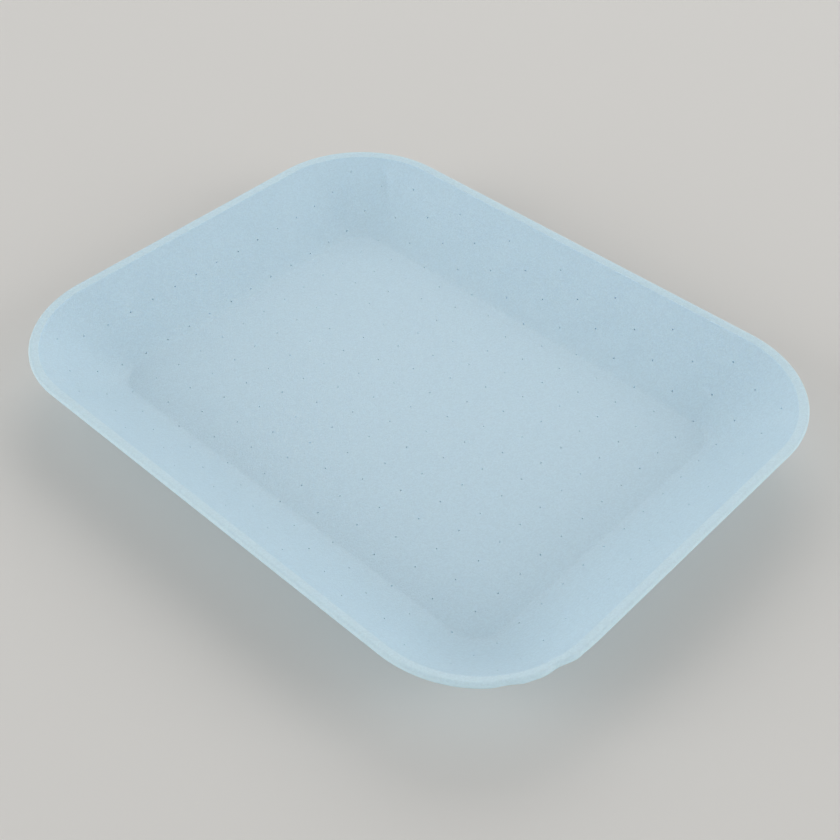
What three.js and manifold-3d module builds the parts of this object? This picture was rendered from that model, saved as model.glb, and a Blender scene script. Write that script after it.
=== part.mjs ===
// Foam meat tray: one sheet of expanded polystyrene foam, pressed hot into a shallow rectangular tray.
// Millimetres, +Z up, the long side along X, resting on Z = 0.

import * as THREE from 'three';
import { mergeVertices } from 'three/addons/utils/BufferGeometryUtils.js';
import Module from 'manifold-3d';

// Driving dimensions of the tray, seen from above
const trayLength = 235;
const trayWidth = 185;
const cornerRadius = 41.3;
const floorCornerRadius = 6; // the least radius that a corner of the floor keeps

// Section from the rim to the floor
const innerDepth = 21; // rim top down to the food side of the floor
const floorThickness = 3.5;
const rimThickness = 2.2; // the sheet is squeezed thinner where it was trimmed
const lipWidth = 3.6; // nearly flat band round the rim, measured in from the edge
const lipSlope = THREE.MathUtils.degToRad(17); // the lip dips towards the inside
const wallSlope = THREE.MathUtils.degToRad(44); // steepest stretch of the wall, above level
const coveRun = 10; // run of the soft cove where the wall flows into the floor

// Pin marks that the foam sheet was pricked with before it was pressed
const pitWidth = 0.9;
const pitDepth = 1.3;
const pitColumnPitch = 12.75; // along X
const pitRowPitch = 10.3; // along Y, every second column stands half a row further on
const pitRimMargin = 5.2; // the outermost band of the rim has no marks

// Crumpled stretch of the rim near the +X, -Y corner: shallow scallops pressed in from outside
const dents = [
  { angle: -3, halfWidth: 6, depth: 0.3 },
  { angle: -15, halfWidth: 10, depth: 1.2 },
  { angle: -26, halfWidth: 6, depth: 0.3 },
  { angle: -37, halfWidth: 8, depth: 0.7 },
];
const dentReach = 12; // how far in from the edge a scallop still shows

// Fineness of the mesh
const cornerSteps = 24;
const coveSteps = 9;
const edgeSteps = 4;
const pitSides = 5;

const trayHeight = innerDepth + floorThickness;

// One face of the sheet as a curve in the plane of the section. x runs in from the edge, y runs down
// from the rim top. The lip runs straight to the bend. From there the wall heads for the point where
// it would meet the floor, and the cove carries it round to the floor's level instead.
function facePath(start, bend, meet, floorEdge) {
  const end = new THREE.Vector2(floorEdge, meet.y);
  const fullness = 0.6;
  const cove = new THREE.CubicBezierCurve(
    bend,
    bend.clone().lerp(meet, fullness),
    end.clone().lerp(meet, fullness),
    end,
  );
  return [start, ...cove.getPoints(coveSteps)];
}

// Both faces leave the rounded edge along the lip's slope, and each bends down into the wall.
const edgeRadius = rimThickness / 2;
const along = new THREE.Vector2(Math.cos(lipSlope), Math.sin(lipSlope));
const across = new THREE.Vector2(Math.sin(lipSlope), -Math.cos(lipSlope));
const edgeCentre = new THREE.Vector2(edgeRadius, edgeRadius);
const innerStart = edgeCentre.clone().addScaledVector(across, edgeRadius);
const outerStart = edgeCentre.clone().addScaledVector(across, -edgeRadius);
const innerBend = innerStart.clone().addScaledVector(along, (lipWidth - innerStart.x) / along.x);
const bendShift = Math.tan((wallSlope - lipSlope) / 2) * rimThickness;
const outerBend = innerBend
  .clone()
  .addScaledVector(across, -rimThickness)
  .addScaledVector(along, -bendShift);

const wallRun = (innerDepth - innerBend.y) / Math.tan(wallSlope);
const innerMeet = new THREE.Vector2(innerBend.x + wallRun, innerDepth);
const outerMeet = new THREE.Vector2(
  innerMeet.x - floorThickness * Math.tan(wallSlope / 2),
  trayHeight,
);
const floorEdge = innerMeet.x + coveRun;
const innerFace = facePath(innerStart, innerBend, innerMeet, floorEdge);
const outerFace = facePath(outerStart, outerBend, outerMeet, floorEdge);

// The rounded edge turns from the inner face over the outermost point to the outer face.
const roundedEdge = [];
for (let step = 1; step < edgeSteps; step += 1) {
  const turn = (Math.PI * step) / edgeSteps;
  roundedEdge.push(
    edgeCentre
      .clone()
      .addScaledVector(across, edgeRadius * Math.cos(turn))
      .addScaledVector(along, -edgeRadius * Math.sin(turn)),
  );
}

// The whole section, from the middle of the underside out to the edge and back to the middle above
const middleInset = trayWidth / 2;
const section = [
  new THREE.Vector2(middleInset, trayHeight),
  ...outerFace.slice().reverse(),
  ...roundedEdge.slice().reverse(),
  ...innerFace,
  new THREE.Vector2(middleInset, innerDepth),
];
const profile = section.map(
  (point) => new THREE.Vector2(middleInset - point.x, trayHeight - point.y),
);

// At any distance in from the edge the plan is a rounded rectangle. These are its corners' radius and
// the place of its +X, +Y corner's centre.
function cornerAt(inset) {
  const radius = Math.max(cornerRadius - inset, floorCornerRadius);
  return {
    radius,
    x: trayLength / 2 - inset - radius,
    y: trayWidth / 2 - inset - radius,
  };
}

// How far the foam is pushed in at an angle around the +X, -Y corner's centre
function dentAt(angle, inset) {
  const fade = Math.max(0, 1 - inset / dentReach);
  let push = 0;
  for (const dent of dents) {
    const offset = Math.abs(angle - dent.angle) / dent.halfWidth;
    if (offset < 1) push += dent.depth * 0.5 * (1 + Math.cos(Math.PI * offset));
  }
  return push * fade * fade;
}

// Turned as a round dish and then pulled apart into the four corners. The first and last points of
// the section stay in the middle, and close the two faces of the floor.
function trayGeometry() {
  const stepsRound = 4 * (cornerSteps + 1);
  const dish = new THREE.LatheGeometry(profile, stepsRound);
  const place = dish.attributes.position;
  for (let ring = 0; ring <= stepsRound; ring += 1) {
    const quarter = Math.floor(ring / (cornerSteps + 1)) % 4;
    const turn = (quarter + (ring % (cornerSteps + 1)) / cornerSteps) * 90;
    const angle = THREE.MathUtils.degToRad(turn);
    const sideX = quarter === 0 || quarter === 3 ? 1 : -1;
    const sideY = quarter < 2 ? 1 : -1;
    section.forEach((point, row) => {
      const height = trayHeight - point.y;
      const corner = cornerAt(point.x);
      const radius = corner.radius - (quarter === 3 ? dentAt(turn - 360, point.x) : 0);
      const x = sideX * corner.x + radius * Math.cos(angle);
      const y = sideY * corner.y + radius * Math.sin(angle);
      const middle = row === 0 || row === section.length - 1;
      place.setXYZ(ring * section.length + row, middle ? 0 : x, middle ? 0 : y, height);
    });
  }
  return dish;
}

// Shares vertices, and drops the triangles that shrank to nothing at the middle.
function closedMesh(geometry) {
  const bare = geometry.clone();
  bare.deleteAttribute('normal');
  bare.deleteAttribute('uv');
  const merged = mergeVertices(bare, 1e-4);
  const index = merged.index.array;
  const kept = [];
  for (let i = 0; i < index.length; i += 3) {
    const [a, b, c] = [index[i], index[i + 1], index[i + 2]];
    if (a !== b && b !== c && c !== a) kept.push(a, b, c);
  }
  merged.setIndex(kept);
  return merged;
}

// Distance in from the tray's edge to a point of the plan, by halving, and the depth of the inner
// face at such a distance
function insetAt(x, y) {
  let low = 0;
  let high = Math.min(trayLength / 2 - Math.abs(x), trayWidth / 2 - Math.abs(y));
  for (let halving = 0; halving < 30; halving += 1) {
    const inset = (low + high) / 2;
    const corner = cornerAt(inset);
    const beyondX = Math.max(0, Math.abs(x) - corner.x);
    const beyondY = Math.max(0, Math.abs(y) - corner.y);
    if (Math.hypot(beyondX, beyondY) > corner.radius) high = inset;
    else low = inset;
  }
  return low;
}

function depthAt(inset) {
  for (let i = 1; i < innerFace.length; i += 1) {
    const [near, far] = [innerFace[i - 1], innerFace[i]];
    if (inset <= far.x) {
      return near.y + ((far.y - near.y) * (inset - near.x)) / (far.x - near.x);
    }
  }
  return innerDepth;
}

// A pit is a small cone that stands on its point, square to the inner face, its mouth just above it.
function pitGeometry(x, y) {
  const reach = 0.2;
  const level = (u, v) => trayHeight - depthAt(insetAt(u, v));
  const slopeX = (level(x + reach, y) - level(x - reach, y)) / (2 * reach);
  const slopeY = (level(x, y + reach) - level(x, y - reach)) / (2 * reach);
  const normal = new THREE.Vector3(-slopeX, -slopeY, 1).normalize();
  const clearance = 0.3;
  const length = pitDepth + clearance;
  const mouth = (pitWidth / 2) * (length / pitDepth);
  const pit = new THREE.ConeGeometry(mouth, length, pitSides);
  pit.translate(0, -length / 2 + pitDepth, 0);
  const turn = new THREE.Quaternion().setFromUnitVectors(new THREE.Vector3(0, -1, 0), normal);
  pit.applyQuaternion(turn);
  pit.translate(x, y, level(x, y));
  return pit;
}

// The staggered field of pits, centred on the tray
function pitPlaces() {
  const places = [];
  const columns = Math.ceil(trayLength / 2 / pitColumnPitch);
  const rows = Math.ceil(trayWidth / 2 / pitRowPitch) + 1;
  for (let column = -columns; column <= columns; column += 1) {
    const stagger = Math.abs(column % 2) * 0.5;
    for (let row = -rows; row <= rows; row += 1) {
      const x = column * pitColumnPitch;
      const y = (row + stagger) * pitRowPitch;
      if (insetAt(x, y) > pitRimMargin) places.push([x, y]);
    }
  }
  return places;
}

const wasm = await Module();
wasm.setup();

function toSolid(geometry) {
  const mesh = closedMesh(geometry);
  return new wasm.Manifold(
    new wasm.Mesh({
      numProp: 3,
      vertProperties: new Float32Array(mesh.attributes.position.array),
      triVerts: new Uint32Array(mesh.index.array),
    }),
  );
}

function toGeometry(solid) {
  const mesh = solid.getMesh();
  const geometry = new THREE.BufferGeometry();
  geometry.setAttribute('position', new THREE.BufferAttribute(mesh.vertProperties, 3));
  geometry.setIndex(new THREE.BufferAttribute(mesh.triVerts, 1));
  geometry.computeVertexNormals();
  return geometry;
}

let traySolid = toSolid(trayGeometry());
for (const [x, y] of pitPlaces()) {
  traySolid = traySolid.subtract(toSolid(pitGeometry(x, y)));
}

const foam = new THREE.MeshStandardMaterial({ color: '#c3d6de', roughness: 0.6, metalness: 0 });
const foamTray = new THREE.Mesh(toGeometry(traySolid), foam);
foamTray.name = 'foam_tray';

const tray = new THREE.Group();
tray.add(foamTray);

export default tray;
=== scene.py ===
# Foam meat tray, dressed for a close look: one pressed sheet of foam with its skin, cells, pin marks
# and trimmed edge.

import math

import bmesh
import bpy
from mathutils import Matrix, Vector, noise


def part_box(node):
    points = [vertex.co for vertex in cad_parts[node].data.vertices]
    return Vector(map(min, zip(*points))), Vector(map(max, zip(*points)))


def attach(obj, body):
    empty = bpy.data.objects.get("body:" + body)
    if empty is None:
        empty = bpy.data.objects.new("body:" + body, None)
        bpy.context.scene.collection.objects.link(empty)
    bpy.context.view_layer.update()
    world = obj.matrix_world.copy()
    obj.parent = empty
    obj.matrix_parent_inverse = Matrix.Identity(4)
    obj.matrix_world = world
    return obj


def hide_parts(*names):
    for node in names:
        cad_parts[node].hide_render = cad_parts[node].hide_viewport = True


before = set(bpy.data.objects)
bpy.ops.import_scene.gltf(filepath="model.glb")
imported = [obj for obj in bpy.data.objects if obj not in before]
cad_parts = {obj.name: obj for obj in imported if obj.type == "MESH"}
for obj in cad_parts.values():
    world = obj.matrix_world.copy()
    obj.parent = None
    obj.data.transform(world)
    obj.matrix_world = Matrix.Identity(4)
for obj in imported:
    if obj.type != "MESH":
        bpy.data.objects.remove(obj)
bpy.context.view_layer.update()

# Camera
# The tray is looked down on from beyond its near corner, with its long side running away to the
# right. The distances place the eye so that the rim's outline falls where it does in the photograph.

mm = 0.001
tray_low, tray_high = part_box("foam_tray")
tray_length = tray_high.x - tray_low.x
tray_width = tray_high.y - tray_low.y
tray_height = tray_high.z - tray_low.z

view_azimuth = 43.3
view_elevation = 44.0
eye_distance = 444.9 * mm
eye_to_right = 3.55 * mm
eye_down = 19.73 * mm
sensor_width = 36.0
lens_length = 56.2
clip_near = 10 * mm
clip_far = 60.0


def toward(azimuth, elevation):
    """The direction from the tray to that side. Azimuth 0 is its -Y side, and 90 its +X side."""
    turn = math.radians(azimuth)
    rise = math.radians(elevation)
    level = math.cos(rise)
    return Vector((math.sin(turn) * level, -math.cos(turn) * level, math.sin(rise)))


toward_eye = toward(view_azimuth, view_elevation)
eye_right = (-toward_eye).cross(Vector((0, 0, 1))).normalized()
eye_up = eye_right.cross(-toward_eye)
rim_centre = Vector((0, 0, tray_height))

camera_data = bpy.data.cameras.new("camera")
camera_data.sensor_width = sensor_width
camera_data.lens = lens_length
camera_data.clip_start = clip_near
camera_data.clip_end = clip_far
camera = bpy.data.objects.new("camera", camera_data)
bpy.context.collection.objects.link(camera)
camera.location = (
    rim_centre + toward_eye * eye_distance + eye_right * eye_to_right - eye_up * eye_down
)
camera.rotation_euler = (-toward_eye).to_track_quat("-Z", "Y").to_euler()
bpy.context.scene.camera = camera


# Foam tray
# One sheet of expanded polystyrene foam, pricked all over, pressed hot between two moulds and cut
# free with a knife. Its section is turned through one corner, drawn out along half of each side and
# mirrored.

corner_radius = 41.3 * mm
floor_thickness = 3.5 * mm
rim_thickness = 2.2 * mm
lip_width = 3.6 * mm
lip_slope = math.radians(17)
wall_slope = math.radians(44)
cove_run = 7 * mm
cove_fullness = 0.56
inner_depth = tray_height - floor_thickness
corner_centre = Vector((tray_length / 2 - corner_radius, tray_width / 2 - corner_radius, 0))

# Where the lip ends, the underside rounds into the wall, and the food side has a small step, as the
# mould's land pressed it. The shares are of the rounding and of the step's run.

bend_round = 0.8 * mm
bend_fullness = 0.6
step_drop = 0.3 * mm
step_run = 0.2 * mm
lead_in_shares = (2, 0.5)
foot_share = 0.3
cove_gap_share = 0.4

# How finely the sheet is divided, and how close two points are taken as one.

corner_steps = 64
side_step = 4 * mm
face_steps = 30
bend_steps = 6
edge_steps = 10
floor_rings = 12
mirror_weld = 0.01 * mm
fine_weld = 0.005 * mm


def curve_points(start, first, second, end, steps):
    """Points of a cubic curve, the start and the end among them."""
    points = []
    for i in range(steps + 1):
        t = i / steps
        s = 1 - t
        points.append(start * s ** 3 + first * 3 * s * s * t + second * 3 * s * t * t + end * t ** 3)
    return points


def face_points(start, bend, meet, floor_edge, step=False):
    """One face of the sheet from the edge to the floor: (distance in, distance down).
    A step leaves the lip standing a little proud of the wall."""
    end = Vector((floor_edge, meet.y))
    along_lip = (bend - start).normalized()
    down_wall = (meet - bend).normalized()
    before = bend - along_lip * bend_round
    after = bend + down_wall * bend_round
    if step:
        land = bend - along_lip * step_run
        foot = land + along_lip * step_run + Vector((0, step_drop))
        rounding = [land - along_lip * step_run * share for share in lead_in_shares]
        rounding += [land, foot, foot + (after - bend) * foot_share]
        after = after + down_wall * bend_round
    else:
        rounding = curve_points(
            before, before.lerp(bend, bend_fullness), after.lerp(bend, bend_fullness), after,
            bend_steps,
        )
    cove = curve_points(
        bend, bend.lerp(meet, cove_fullness), end.lerp(meet, cove_fullness), end, face_steps,
    )
    cove_start = after.x + bend_round * cove_gap_share
    return [start] + rounding + [point for point in cove if point.x > cove_start]


def section_points():
    """The whole section from the floor's edge inside, out over the rim, to the floor's edge below."""
    radius = rim_thickness / 2
    along = Vector((math.cos(lip_slope), math.sin(lip_slope)))
    across = Vector((math.sin(lip_slope), -math.cos(lip_slope)))
    centre = Vector((radius, radius))
    inner_start = centre + across * radius
    outer_start = centre - across * radius
    inner_bend = inner_start + along * ((lip_width - inner_start.x) / along.x)
    bend_shift = math.tan((wall_slope - lip_slope) / 2) * rim_thickness
    outer_bend = inner_bend - across * rim_thickness - along * bend_shift
    wall_run = (inner_depth - inner_bend.y) / math.tan(wall_slope)
    inner_meet = Vector((inner_bend.x + wall_run, inner_depth))
    outer_meet = Vector((inner_meet.x - floor_thickness * math.tan(wall_slope / 2), tray_height))
    floor_edge = inner_meet.x + cove_run
    inner = face_points(inner_start, inner_bend, inner_meet, floor_edge, step=True)
    outer = face_points(outer_start, outer_bend, outer_meet, floor_edge)
    edge = [
        centre + across * radius * math.cos(turn) - along * radius * math.sin(turn)
        for turn in (math.pi * step / edge_steps for step in range(1, edge_steps))
    ]
    return inner[::-1] + edge + outer


def draw_out(mesh, section_edges, move, steps):
    """Draws a section out in equal steps."""
    for _ in range(steps):
        drawn = bmesh.ops.extrude_edge_only(mesh, edges=section_edges)["geom"]
        verts = [item for item in drawn if isinstance(item, bmesh.types.BMVert)]
        section_edges = [item for item in drawn if isinstance(item, bmesh.types.BMEdge)]
        bmesh.ops.translate(mesh, verts=verts, vec=move / steps)


def quarter_tray(mesh):
    """A quarter of the tray's skin, open where the other quarters and the floor join it."""
    edge_x = corner_centre.x + corner_radius
    verts = [
        mesh.verts.new((edge_x - point.x, corner_centre.y, tray_height - point.y))
        for point in section_points()
    ]
    first = [mesh.edges.new(pair) for pair in zip(verts, verts[1:])]
    turned = bmesh.ops.spin(
        mesh, geom=verts + first, cent=corner_centre, axis=(0, 0, 1), dvec=(0, 0, 0),
        angle=math.pi / 2, steps=corner_steps,
        use_merge=False, use_normal_flip=False, use_duplicate=False,
    )
    last = [item for item in turned["geom_last"] if isinstance(item, bmesh.types.BMEdge)]
    draw_out(mesh, first, Vector((0, -corner_centre.y, 0)), round(corner_centre.y / side_step))
    draw_out(mesh, last, Vector((-corner_centre.x, 0, 0)), round(corner_centre.x / side_step))


def close_floor(mesh, level):
    """Fills one face of the floor with rings that shrink to its middle."""
    def on_level(edge):
        return edge.is_boundary and all(abs(vert.co.z - level) < mirror_weld for vert in edge.verts)
    ring = [edge for edge in mesh.edges if on_level(edge)]
    for step in range(floor_rings, 1, -1):
        drawn = bmesh.ops.extrude_edge_only(mesh, edges=ring)["geom"]
        verts = [item for item in drawn if isinstance(item, bmesh.types.BMVert)]
        ring = [item for item in drawn if isinstance(item, bmesh.types.BMEdge)]
        shrink = (step - 1) / step
        bmesh.ops.scale(mesh, verts=verts, vec=(shrink, shrink, 1))
    bmesh.ops.holes_fill(mesh, edges=ring, sides=0)


# The rim is crumpled at one corner: shallow scallops pressed in from outside, fading out down the
# wall. Each has an angle round the corner's centre, a half width in degrees and a depth.

dents = ((-3, 6, 0.3 * mm), (-15, 10, 1.2 * mm), (-26, 6, 0.3 * mm), (-37, 8, 0.7 * mm))
dent_reach = 12 * mm
dent_lift = 0.35
dents_past_corner = 8 * mm


def hollow(offset):
    """The depth of a smooth hollow as a share, from its middle, at 0, to its side, at 1."""
    return 0.5 * (1 + math.cos(math.pi * offset))


def press_dents(mesh):
    centre = Vector((corner_centre.x, -corner_centre.y, 0))
    for vert in mesh.verts:
        arm = Vector((vert.co.x, vert.co.y, 0)) - centre
        if arm.x <= 0 or arm.y > dents_past_corner:
            continue
        angle = math.degrees(math.atan2(arm.y, arm.x))
        fade = max(0.0, 1 - (corner_radius - arm.length) / dent_reach) ** 2
        push = 0.0
        for middle, half_width, depth in dents:
            offset = abs(angle - middle) / half_width
            if offset < 1:
                push += depth * hollow(offset)
        vert.co -= arm.normalized() * push * fade
        vert.co.z -= push * fade * dent_lift


# The corner farthest from the eye has a shallow flute down its wall, where the foam gathered as it
# was pressed. Its angle round the corner's centre is taken at one distance in from the edge, and
# falls as the flute runs down. The angle and the sides are in degrees, the drift in degrees a metre.

flute_angle = 118
flute_angle_inset = 8 * mm
flute_drift = 1.1 / mm
flute_broad_side = 8
flute_narrow_side = 3
flute_depth = 0.8 * mm
flute_top = 4 * mm
flute_foot = 25 * mm
flute_rise = 0.6


def press_flute(mesh):
    centre = Vector((-corner_centre.x, corner_centre.y, 0))
    for vert in mesh.verts:
        arm = Vector((vert.co.x, vert.co.y, 0)) - centre
        inset = corner_radius - arm.length
        if arm.x >= 0 or arm.y <= 0 or not flute_top < inset < flute_foot:
            continue
        angle = math.degrees(math.atan2(arm.y, arm.x))
        offset = angle - flute_angle + flute_drift * (inset - flute_angle_inset)
        offset = -offset / flute_broad_side if offset < 0 else offset / flute_narrow_side
        if offset < 1:
            down = (inset - flute_top) / (flute_foot - flute_top)
            fade = math.sin(math.pi * down ** flute_rise)
            vert.co += arm.normalized() * flute_depth * fade * hollow(offset)


def tray_skin():
    mesh = bmesh.new()
    quarter_tray(mesh)
    for axis in ("X", "Y"):
        everything = mesh.verts[:] + mesh.edges[:] + mesh.faces[:]
        bmesh.ops.mirror(mesh, geom=everything, axis=axis, merge_dist=mirror_weld)
    close_floor(mesh, floor_thickness)
    close_floor(mesh, 0.0)
    bmesh.ops.remove_doubles(mesh, verts=mesh.verts[:], dist=fine_weld)
    press_dents(mesh)
    press_flute(mesh)
    bmesh.ops.recalc_face_normals(mesh, faces=mesh.faces[:])
    return mesh


# The pin marks stand in columns, and every second column half a row further on. Each is a blind pit
# square to the skin and a little wider at its mouth, and no two pins went in quite as far.

pit_mouth = 0.75 * mm
pit_throat = 0.45 * mm
pit_depth = 1.3 * mm
pit_flare = 0.25 * mm
pit_tip_share = 0.4
pit_sides = 10
pin_stub = 0.3 * mm
pit_least = 0.75
pit_stray = 0.25 * mm
pit_column_pitch = 12.75 * mm
pit_row_pitch = 10.3 * mm
pit_rim_margin = 5.2 * mm


def inset_at(x, y):
    """Distance in from the tray's edge to a point of the plan."""
    beyond_x = abs(x) - corner_centre.x
    beyond_y = abs(y) - corner_centre.y
    outside = math.hypot(max(beyond_x, 0), max(beyond_y, 0))
    return corner_radius - outside - min(max(beyond_x, beyond_y), 0)


def pit_places():
    """The place of each pin in the plan, and its size as a share of the largest."""
    columns = math.ceil(tray_length / 2 / pit_column_pitch)
    rows = math.ceil(tray_width / 2 / pit_row_pitch) + 1
    for column in range(-columns, columns + 1):
        stagger = 0.5 * (column % 2)
        for row in range(-rows, rows + 1):
            x = column * pit_column_pitch
            y = (row + stagger) * pit_row_pitch
            if inset_at(x, y) > pit_rim_margin:
                stray = noise.cell_vector(Vector((column + 0.5, row + 0.5, 0.5)))
                share = pit_least + (1 - pit_least) * stray.z
                yield x + (stray.x - 0.5) * 2 * pit_stray, y + (stray.y - 0.5) * 2 * pit_stray, share


def one_pin():
    """A pin with its point down: from just above the skin, through the flared mouth, to its tip."""
    mesh = bmesh.new()
    bmesh.ops.create_circle(mesh, cap_ends=True, segments=pit_sides, radius=pit_mouth / 2)
    bmesh.ops.translate(mesh, verts=mesh.verts, vec=(0, 0, pin_stub))
    ring = mesh.edges[:]
    stages = (
        (pin_stub, 1.0),
        (pit_flare, pit_throat / pit_mouth),
        (pit_depth - pit_flare, pit_tip_share),
    )
    for drop, width in stages:
        drawn = bmesh.ops.extrude_edge_only(mesh, edges=ring)["geom"]
        verts = [item for item in drawn if isinstance(item, bmesh.types.BMVert)]
        ring = [item for item in drawn if isinstance(item, bmesh.types.BMEdge)]
        bmesh.ops.translate(mesh, verts=verts, vec=(0, 0, -drop))
        bmesh.ops.scale(mesh, verts=verts, vec=(width, width, 1))
    bmesh.ops.holes_fill(mesh, edges=ring, sides=0)
    bmesh.ops.recalc_face_normals(mesh, faces=mesh.faces[:])
    data = bpy.data.meshes.new("pin")
    mesh.to_mesh(data)
    mesh.free()
    return data


def pins(skin):
    """One mesh of all the pins that prick the sheet, each square to the skin where it goes in."""
    pin = one_pin()
    count = len(pin.vertices)
    mesh = bmesh.new()
    above = 2 * tray_height
    for x, y, share in pit_places():
        hit, place, normal, _ = skin.ray_cast(Vector((x, y, above)), Vector((0, 0, -1)))
        if not hit:
            continue
        square = normal.to_track_quat("Z", "Y").to_matrix().to_4x4()
        mesh.from_mesh(pin)
        mesh.verts.ensure_lookup_table()
        placed = Matrix.Translation(place) @ square @ Matrix.Scale(share, 4)
        bmesh.ops.transform(mesh, verts=mesh.verts[-count:], matrix=placed)
    bpy.data.meshes.remove(pin)
    return mesh


def mesh_object(name, mesh):
    data = bpy.data.meshes.new(name)
    mesh.to_mesh(data)
    mesh.free()
    piece = bpy.data.objects.new(name, data)
    bpy.context.collection.objects.link(piece)
    return piece


def prick(piece):
    """Cuts the pin marks out of the tray, and leaves the cut as the tray's own mesh."""
    cutter = mesh_object("pins", pins(piece))
    cut = piece.modifiers.new("pin marks", "BOOLEAN")
    cut.operation = "DIFFERENCE"
    cut.solver = "EXACT"
    cut.object = cutter
    evaluated = piece.evaluated_get(bpy.context.evaluated_depsgraph_get())
    finished = bpy.data.meshes.new_from_object(evaluated)
    piece.modifiers.clear()
    piece.data = finished
    bpy.data.objects.remove(cutter)


# The skin: closed cells under a thin fused film, matt with a soft sheen, pebbled at the size of a
# cell, and slightly cloudy where the cells are packed more or less densely. A little light sinks into
# the foam and comes out again, which softens its shadows. The ranges hold most of each pattern's
# values, and are spread over the flecks and the sheen.

foam_hex = "#cfe8f5"
foam_dense_hex = "#cae4f2"
skin_roughness = 0.48
sheen_spread = 0.12
cell_size = 0.5 * mm
cell_contrast = 0.03
cell_range = (0.2, 0.8)
cell_height = 0.1 * mm
cell_bump = 0.7
cloud_size = 14 * mm
cloud_range = (0.3, 0.7)
ripple_size = 9 * mm
ripple_height = 0.12 * mm
ripple_bump = 0.25
foam_body = {
    "Subsurface_Weight": 0.25,
    "Subsurface_Radius": (0.9, 1.0, 1.1),
    "Subsurface_Scale": 1.2 * mm,
    "IOR": 1.4,
}

# The lip: the same skin, pressed harder between the moulds, so it is a little smoother. Its colour is
# painted a little paler all round, a painted highlight for the light the lip catches from above and
# behind.

rim_painted_highlight_hex = "#d4ecf6"
rim_dense_painted_highlight_hex = "#cfe8f3"
rim_roughness = 0.42


def linear(hex_colour):
    """An sRGB colour written in hex, as the linear values that the shaders take."""
    def channel(value):
        return value / 12.92 if value <= 0.04045 else ((value + 0.055) / 1.055) ** 2.4
    parts = [int(hex_colour[i:i + 2], 16) / 255 for i in (1, 3, 5)]
    return (*[channel(part) for part in parts], 1.0)


def new_material(name):
    material = bpy.data.materials.new(name)
    material.use_nodes = True
    material.node_tree.nodes.clear()
    return material


def add_node(owner, kind, settings=None, **inputs):
    """Adds a node of that kind to a material or a world. Settings are the node's own. Inputs are
    values or (node, output) links, by the socket's name or by an underscore and its number."""
    node = owner.node_tree.nodes.new(kind)
    for key, value in (settings or {}).items():
        setattr(node, key, value)
    for key, value in inputs.items():
        socket = node.inputs[int(key[1:])] if key[0] == "_" else node.inputs[key.replace("_", " ")]
        if isinstance(value, tuple) and isinstance(value[0], bpy.types.Node):
            owner.node_tree.links.new(value[0].outputs[value[1]], socket)
        else:
            socket.default_value = value
    return node


def per_metre(size):
    """The texture scale at which one feature of a pattern is about that wide."""
    return 1.0 / size


def finish_material(material, shader):
    add_node(material, "ShaderNodeOutputMaterial", Surface=(shader, 0))
    return material


def foam_skin_material(name, pale_hex, dense_hex, roughest):
    material = new_material(name)
    place = add_node(material, "ShaderNodeTexCoord")
    clouds = add_node(
        material, "ShaderNodeTexNoise",
        Vector=(place, "Object"), Scale=per_metre(cloud_size), Detail=3.0, Roughness=0.55,
    )
    tint = add_node(
        material, "ShaderNodeMix", {"data_type": "RGBA"},
        _0=(clouds, "Fac"), _6=linear(dense_hex), _7=linear(pale_hex),
    )
    cells = add_node(
        material, "ShaderNodeTexVoronoi", {"feature": "SMOOTH_F1"},
        Vector=(place, "Object"), Scale=per_metre(cell_size), Smoothness=0.35,
    )
    fleck = add_node(
        material, "ShaderNodeMapRange", Value=(cells, "Color"),
        From_Min=cell_range[0], From_Max=cell_range[1],
        To_Min=1 - cell_contrast, To_Max=1 + cell_contrast,
    )
    flecked = add_node(
        material, "ShaderNodeHueSaturation", Color=(tint, 2), Value=(fleck, 0),
    )
    ripples = add_node(
        material, "ShaderNodeTexNoise",
        Vector=(place, "Object"), Scale=per_metre(ripple_size), Detail=2.0, Roughness=0.5,
    )
    broad = add_node(
        material, "ShaderNodeBump",
        Strength=ripple_bump, Distance=ripple_height, Height=(ripples, "Fac"),
    )
    pebbled = add_node(
        material, "ShaderNodeBump", {"invert": True},
        Strength=cell_bump, Distance=cell_height,
        Height=(cells, "Distance"), Normal=(broad, "Normal"),
    )
    sheen = add_node(
        material, "ShaderNodeMapRange", Value=(clouds, "Fac"),
        From_Min=cloud_range[0], From_Max=cloud_range[1],
        To_Min=roughest - sheen_spread, To_Max=roughest,
    )
    shader = add_node(
        material, "ShaderNodeBsdfPrincipled",
        Base_Color=(flecked, "Color"), Roughness=(sheen, 0), Normal=(pebbled, "Normal"),
        **foam_body,
    )
    return finish_material(material, shader)


# The trimmed edge: the knife tore the cells open there, so it is rougher and has no sheen.

edge_hex = "#d2ecf7"
edge_roughness = 0.75
torn_cell_size = 0.6 * mm
torn_cell_height = 0.12 * mm
torn_cell_bump = 0.6


def foam_edge_material():
    material = new_material("trimmed foam edge")
    place = add_node(material, "ShaderNodeTexCoord")
    torn = add_node(
        material, "ShaderNodeTexVoronoi",
        Vector=(place, "Object"), Scale=per_metre(torn_cell_size),
    )
    rough = add_node(
        material, "ShaderNodeBump", {"invert": True},
        Strength=torn_cell_bump, Distance=torn_cell_height, Height=(torn, "Distance"),
    )
    shader = add_node(
        material, "ShaderNodeBsdfPrincipled",
        Base_Color=linear(edge_hex), Roughness=edge_roughness, Normal=(rough, "Normal"),
        **foam_body,
    )
    return finish_material(material, shader)


# Where each finish lies: the torn one on the edge's outer turn, the pressed one, painted paler as a
# painted highlight, on the lip as far as the middle of the step, and the skin everywhere else.

edge_band = 0.45 * rim_thickness
edge_steepness = 0.6
rim_painted_highlight_band = lip_width - 0.5 * step_run
rim_painted_highlight_finish = 1
edge_finish = 2


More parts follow.
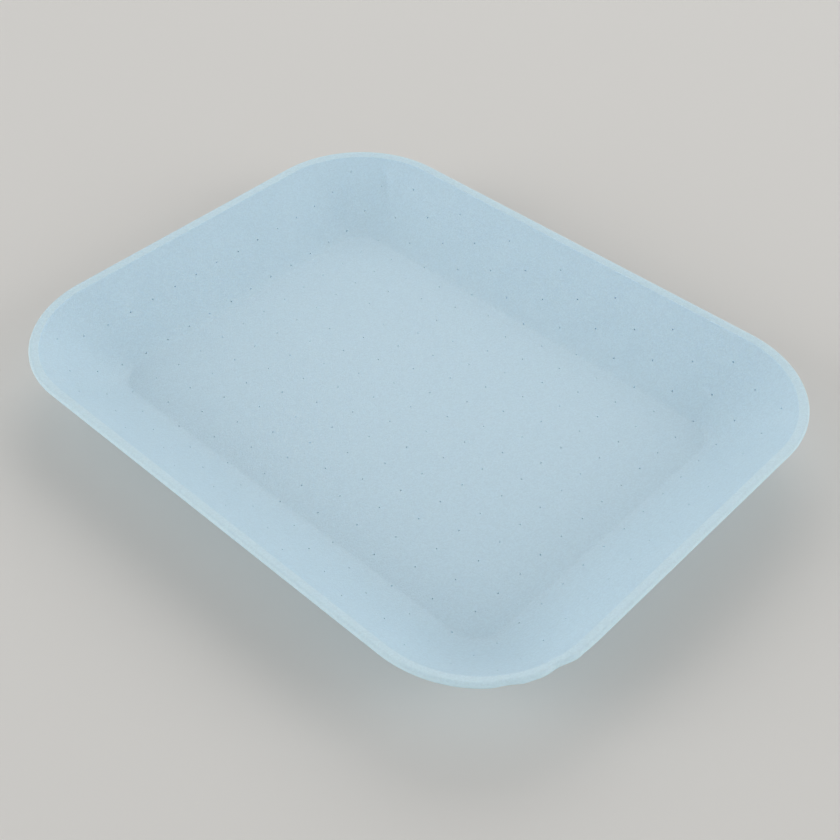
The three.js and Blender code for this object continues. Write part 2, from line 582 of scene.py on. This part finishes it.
def give_finishes(piece):
    piece.data.materials.clear()
    for finish in (
        foam_skin_material("polystyrene foam skin", foam_hex, foam_dense_hex, skin_roughness),
        # The pressed rim's paler colour is a painted highlight.
        foam_skin_material("pressed foam rim with painted highlight", rim_painted_highlight_hex, rim_dense_painted_highlight_hex, rim_roughness),
        foam_edge_material(),
    ):
        piece.data.materials.append(finish)
    for face in piece.data.polygons:
        inset = inset_at(face.center.x, face.center.y)
        if inset < edge_band and face.normal.z < edge_steepness:
            face.material_index = edge_finish
        # The lip's upper faces take the pressed finish, whose paler colour is a painted highlight.
        elif inset < rim_painted_highlight_band and face.normal.z > 0:
            face.material_index = rim_painted_highlight_finish


def shade(piece):
    """Smooth all over, with the mouths of the pits left sharp."""
    piece.data.shade_smooth()
    mesh = bmesh.new()
    mesh.from_mesh(piece.data)
    sharp = math.radians(35)
    for edge in mesh.edges:
        edge.smooth = len(edge.link_faces) != 2 or edge.calc_face_angle(0) < sharp
    mesh.to_mesh(piece.data)
    mesh.free()


tray = mesh_object("foam_tray_sheet", tray_skin())
prick(tray)
give_finishes(tray)
shade(tray)
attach(tray, "root")
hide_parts("foam_tray")

# Studio
# A plain pale table that runs far past the view and is matt, so that nothing shows in it. A soft
# light stands high behind the tray and a lower one on either side of the eye, and a plain white
# surround, brighter near the horizon than overhead, fills the shadows.

table_hex = "#e4e2de"
table_roughness = 0.9
table_half = 12.0


def table_material():
    material = new_material("matt painted table")
    shader = add_node(
        material, "ShaderNodeBsdfPrincipled",
        Base_Color=linear(table_hex), Roughness=table_roughness,
    )
    return finish_material(material, shader)


table_mesh = bmesh.new()
bmesh.ops.create_grid(table_mesh, x_segments=1, y_segments=1, size=table_half)
table = mesh_object("table", table_mesh)
table.data.materials.append(table_material())

# Each light has a name, the azimuth and elevation it shines from, the side of its square in metres
# and its power in watts.

light_distance = 1.3
lights = (
    ("back light", 214, 42, 0.9, 3.6),
    ("right light", 116, 24, 0.7, 4.35),
    ("left light", 328, 24, 0.7, 4.7),
)

for light_name, azimuth, elevation, light_side, power in lights:
    light_data = bpy.data.lights.new(light_name, "AREA")
    light_data.shape = "SQUARE"
    light_data.size = light_side
    light_data.energy = power
    light = bpy.data.objects.new(light_name, light_data)
    toward_light = toward(azimuth, elevation)
    light.location = toward_light * light_distance
    light.rotation_euler = toward_light.to_track_quat("Z", "Y").to_euler()
    bpy.context.collection.objects.link(light)

surround_hex = "#ffffff"
horizon_strength = 0.83
horizon_height = 0.1
zenith_strength = 0.27
zenith_height = 0.9

world = bpy.data.worlds.new("pale surround")
world.use_nodes = True
surround = world.node_tree.nodes["Background"]
surround.inputs["Color"].default_value = linear(surround_hex)
direction = add_node(world, "ShaderNodeTexCoord")
height = add_node(world, "ShaderNodeSeparateXYZ", Vector=(direction, "Generated"))
strength = add_node(
    world, "ShaderNodeMapRange", Value=(height, "Z"),
    From_Min=horizon_height, From_Max=zenith_height,
    To_Min=horizon_strength, To_Max=zenith_strength,
)
world.node_tree.links.new(strength.outputs[0], surround.inputs["Strength"])
bpy.context.scene.world = world
bpy.context.scene.view_settings.view_transform = "Standard"
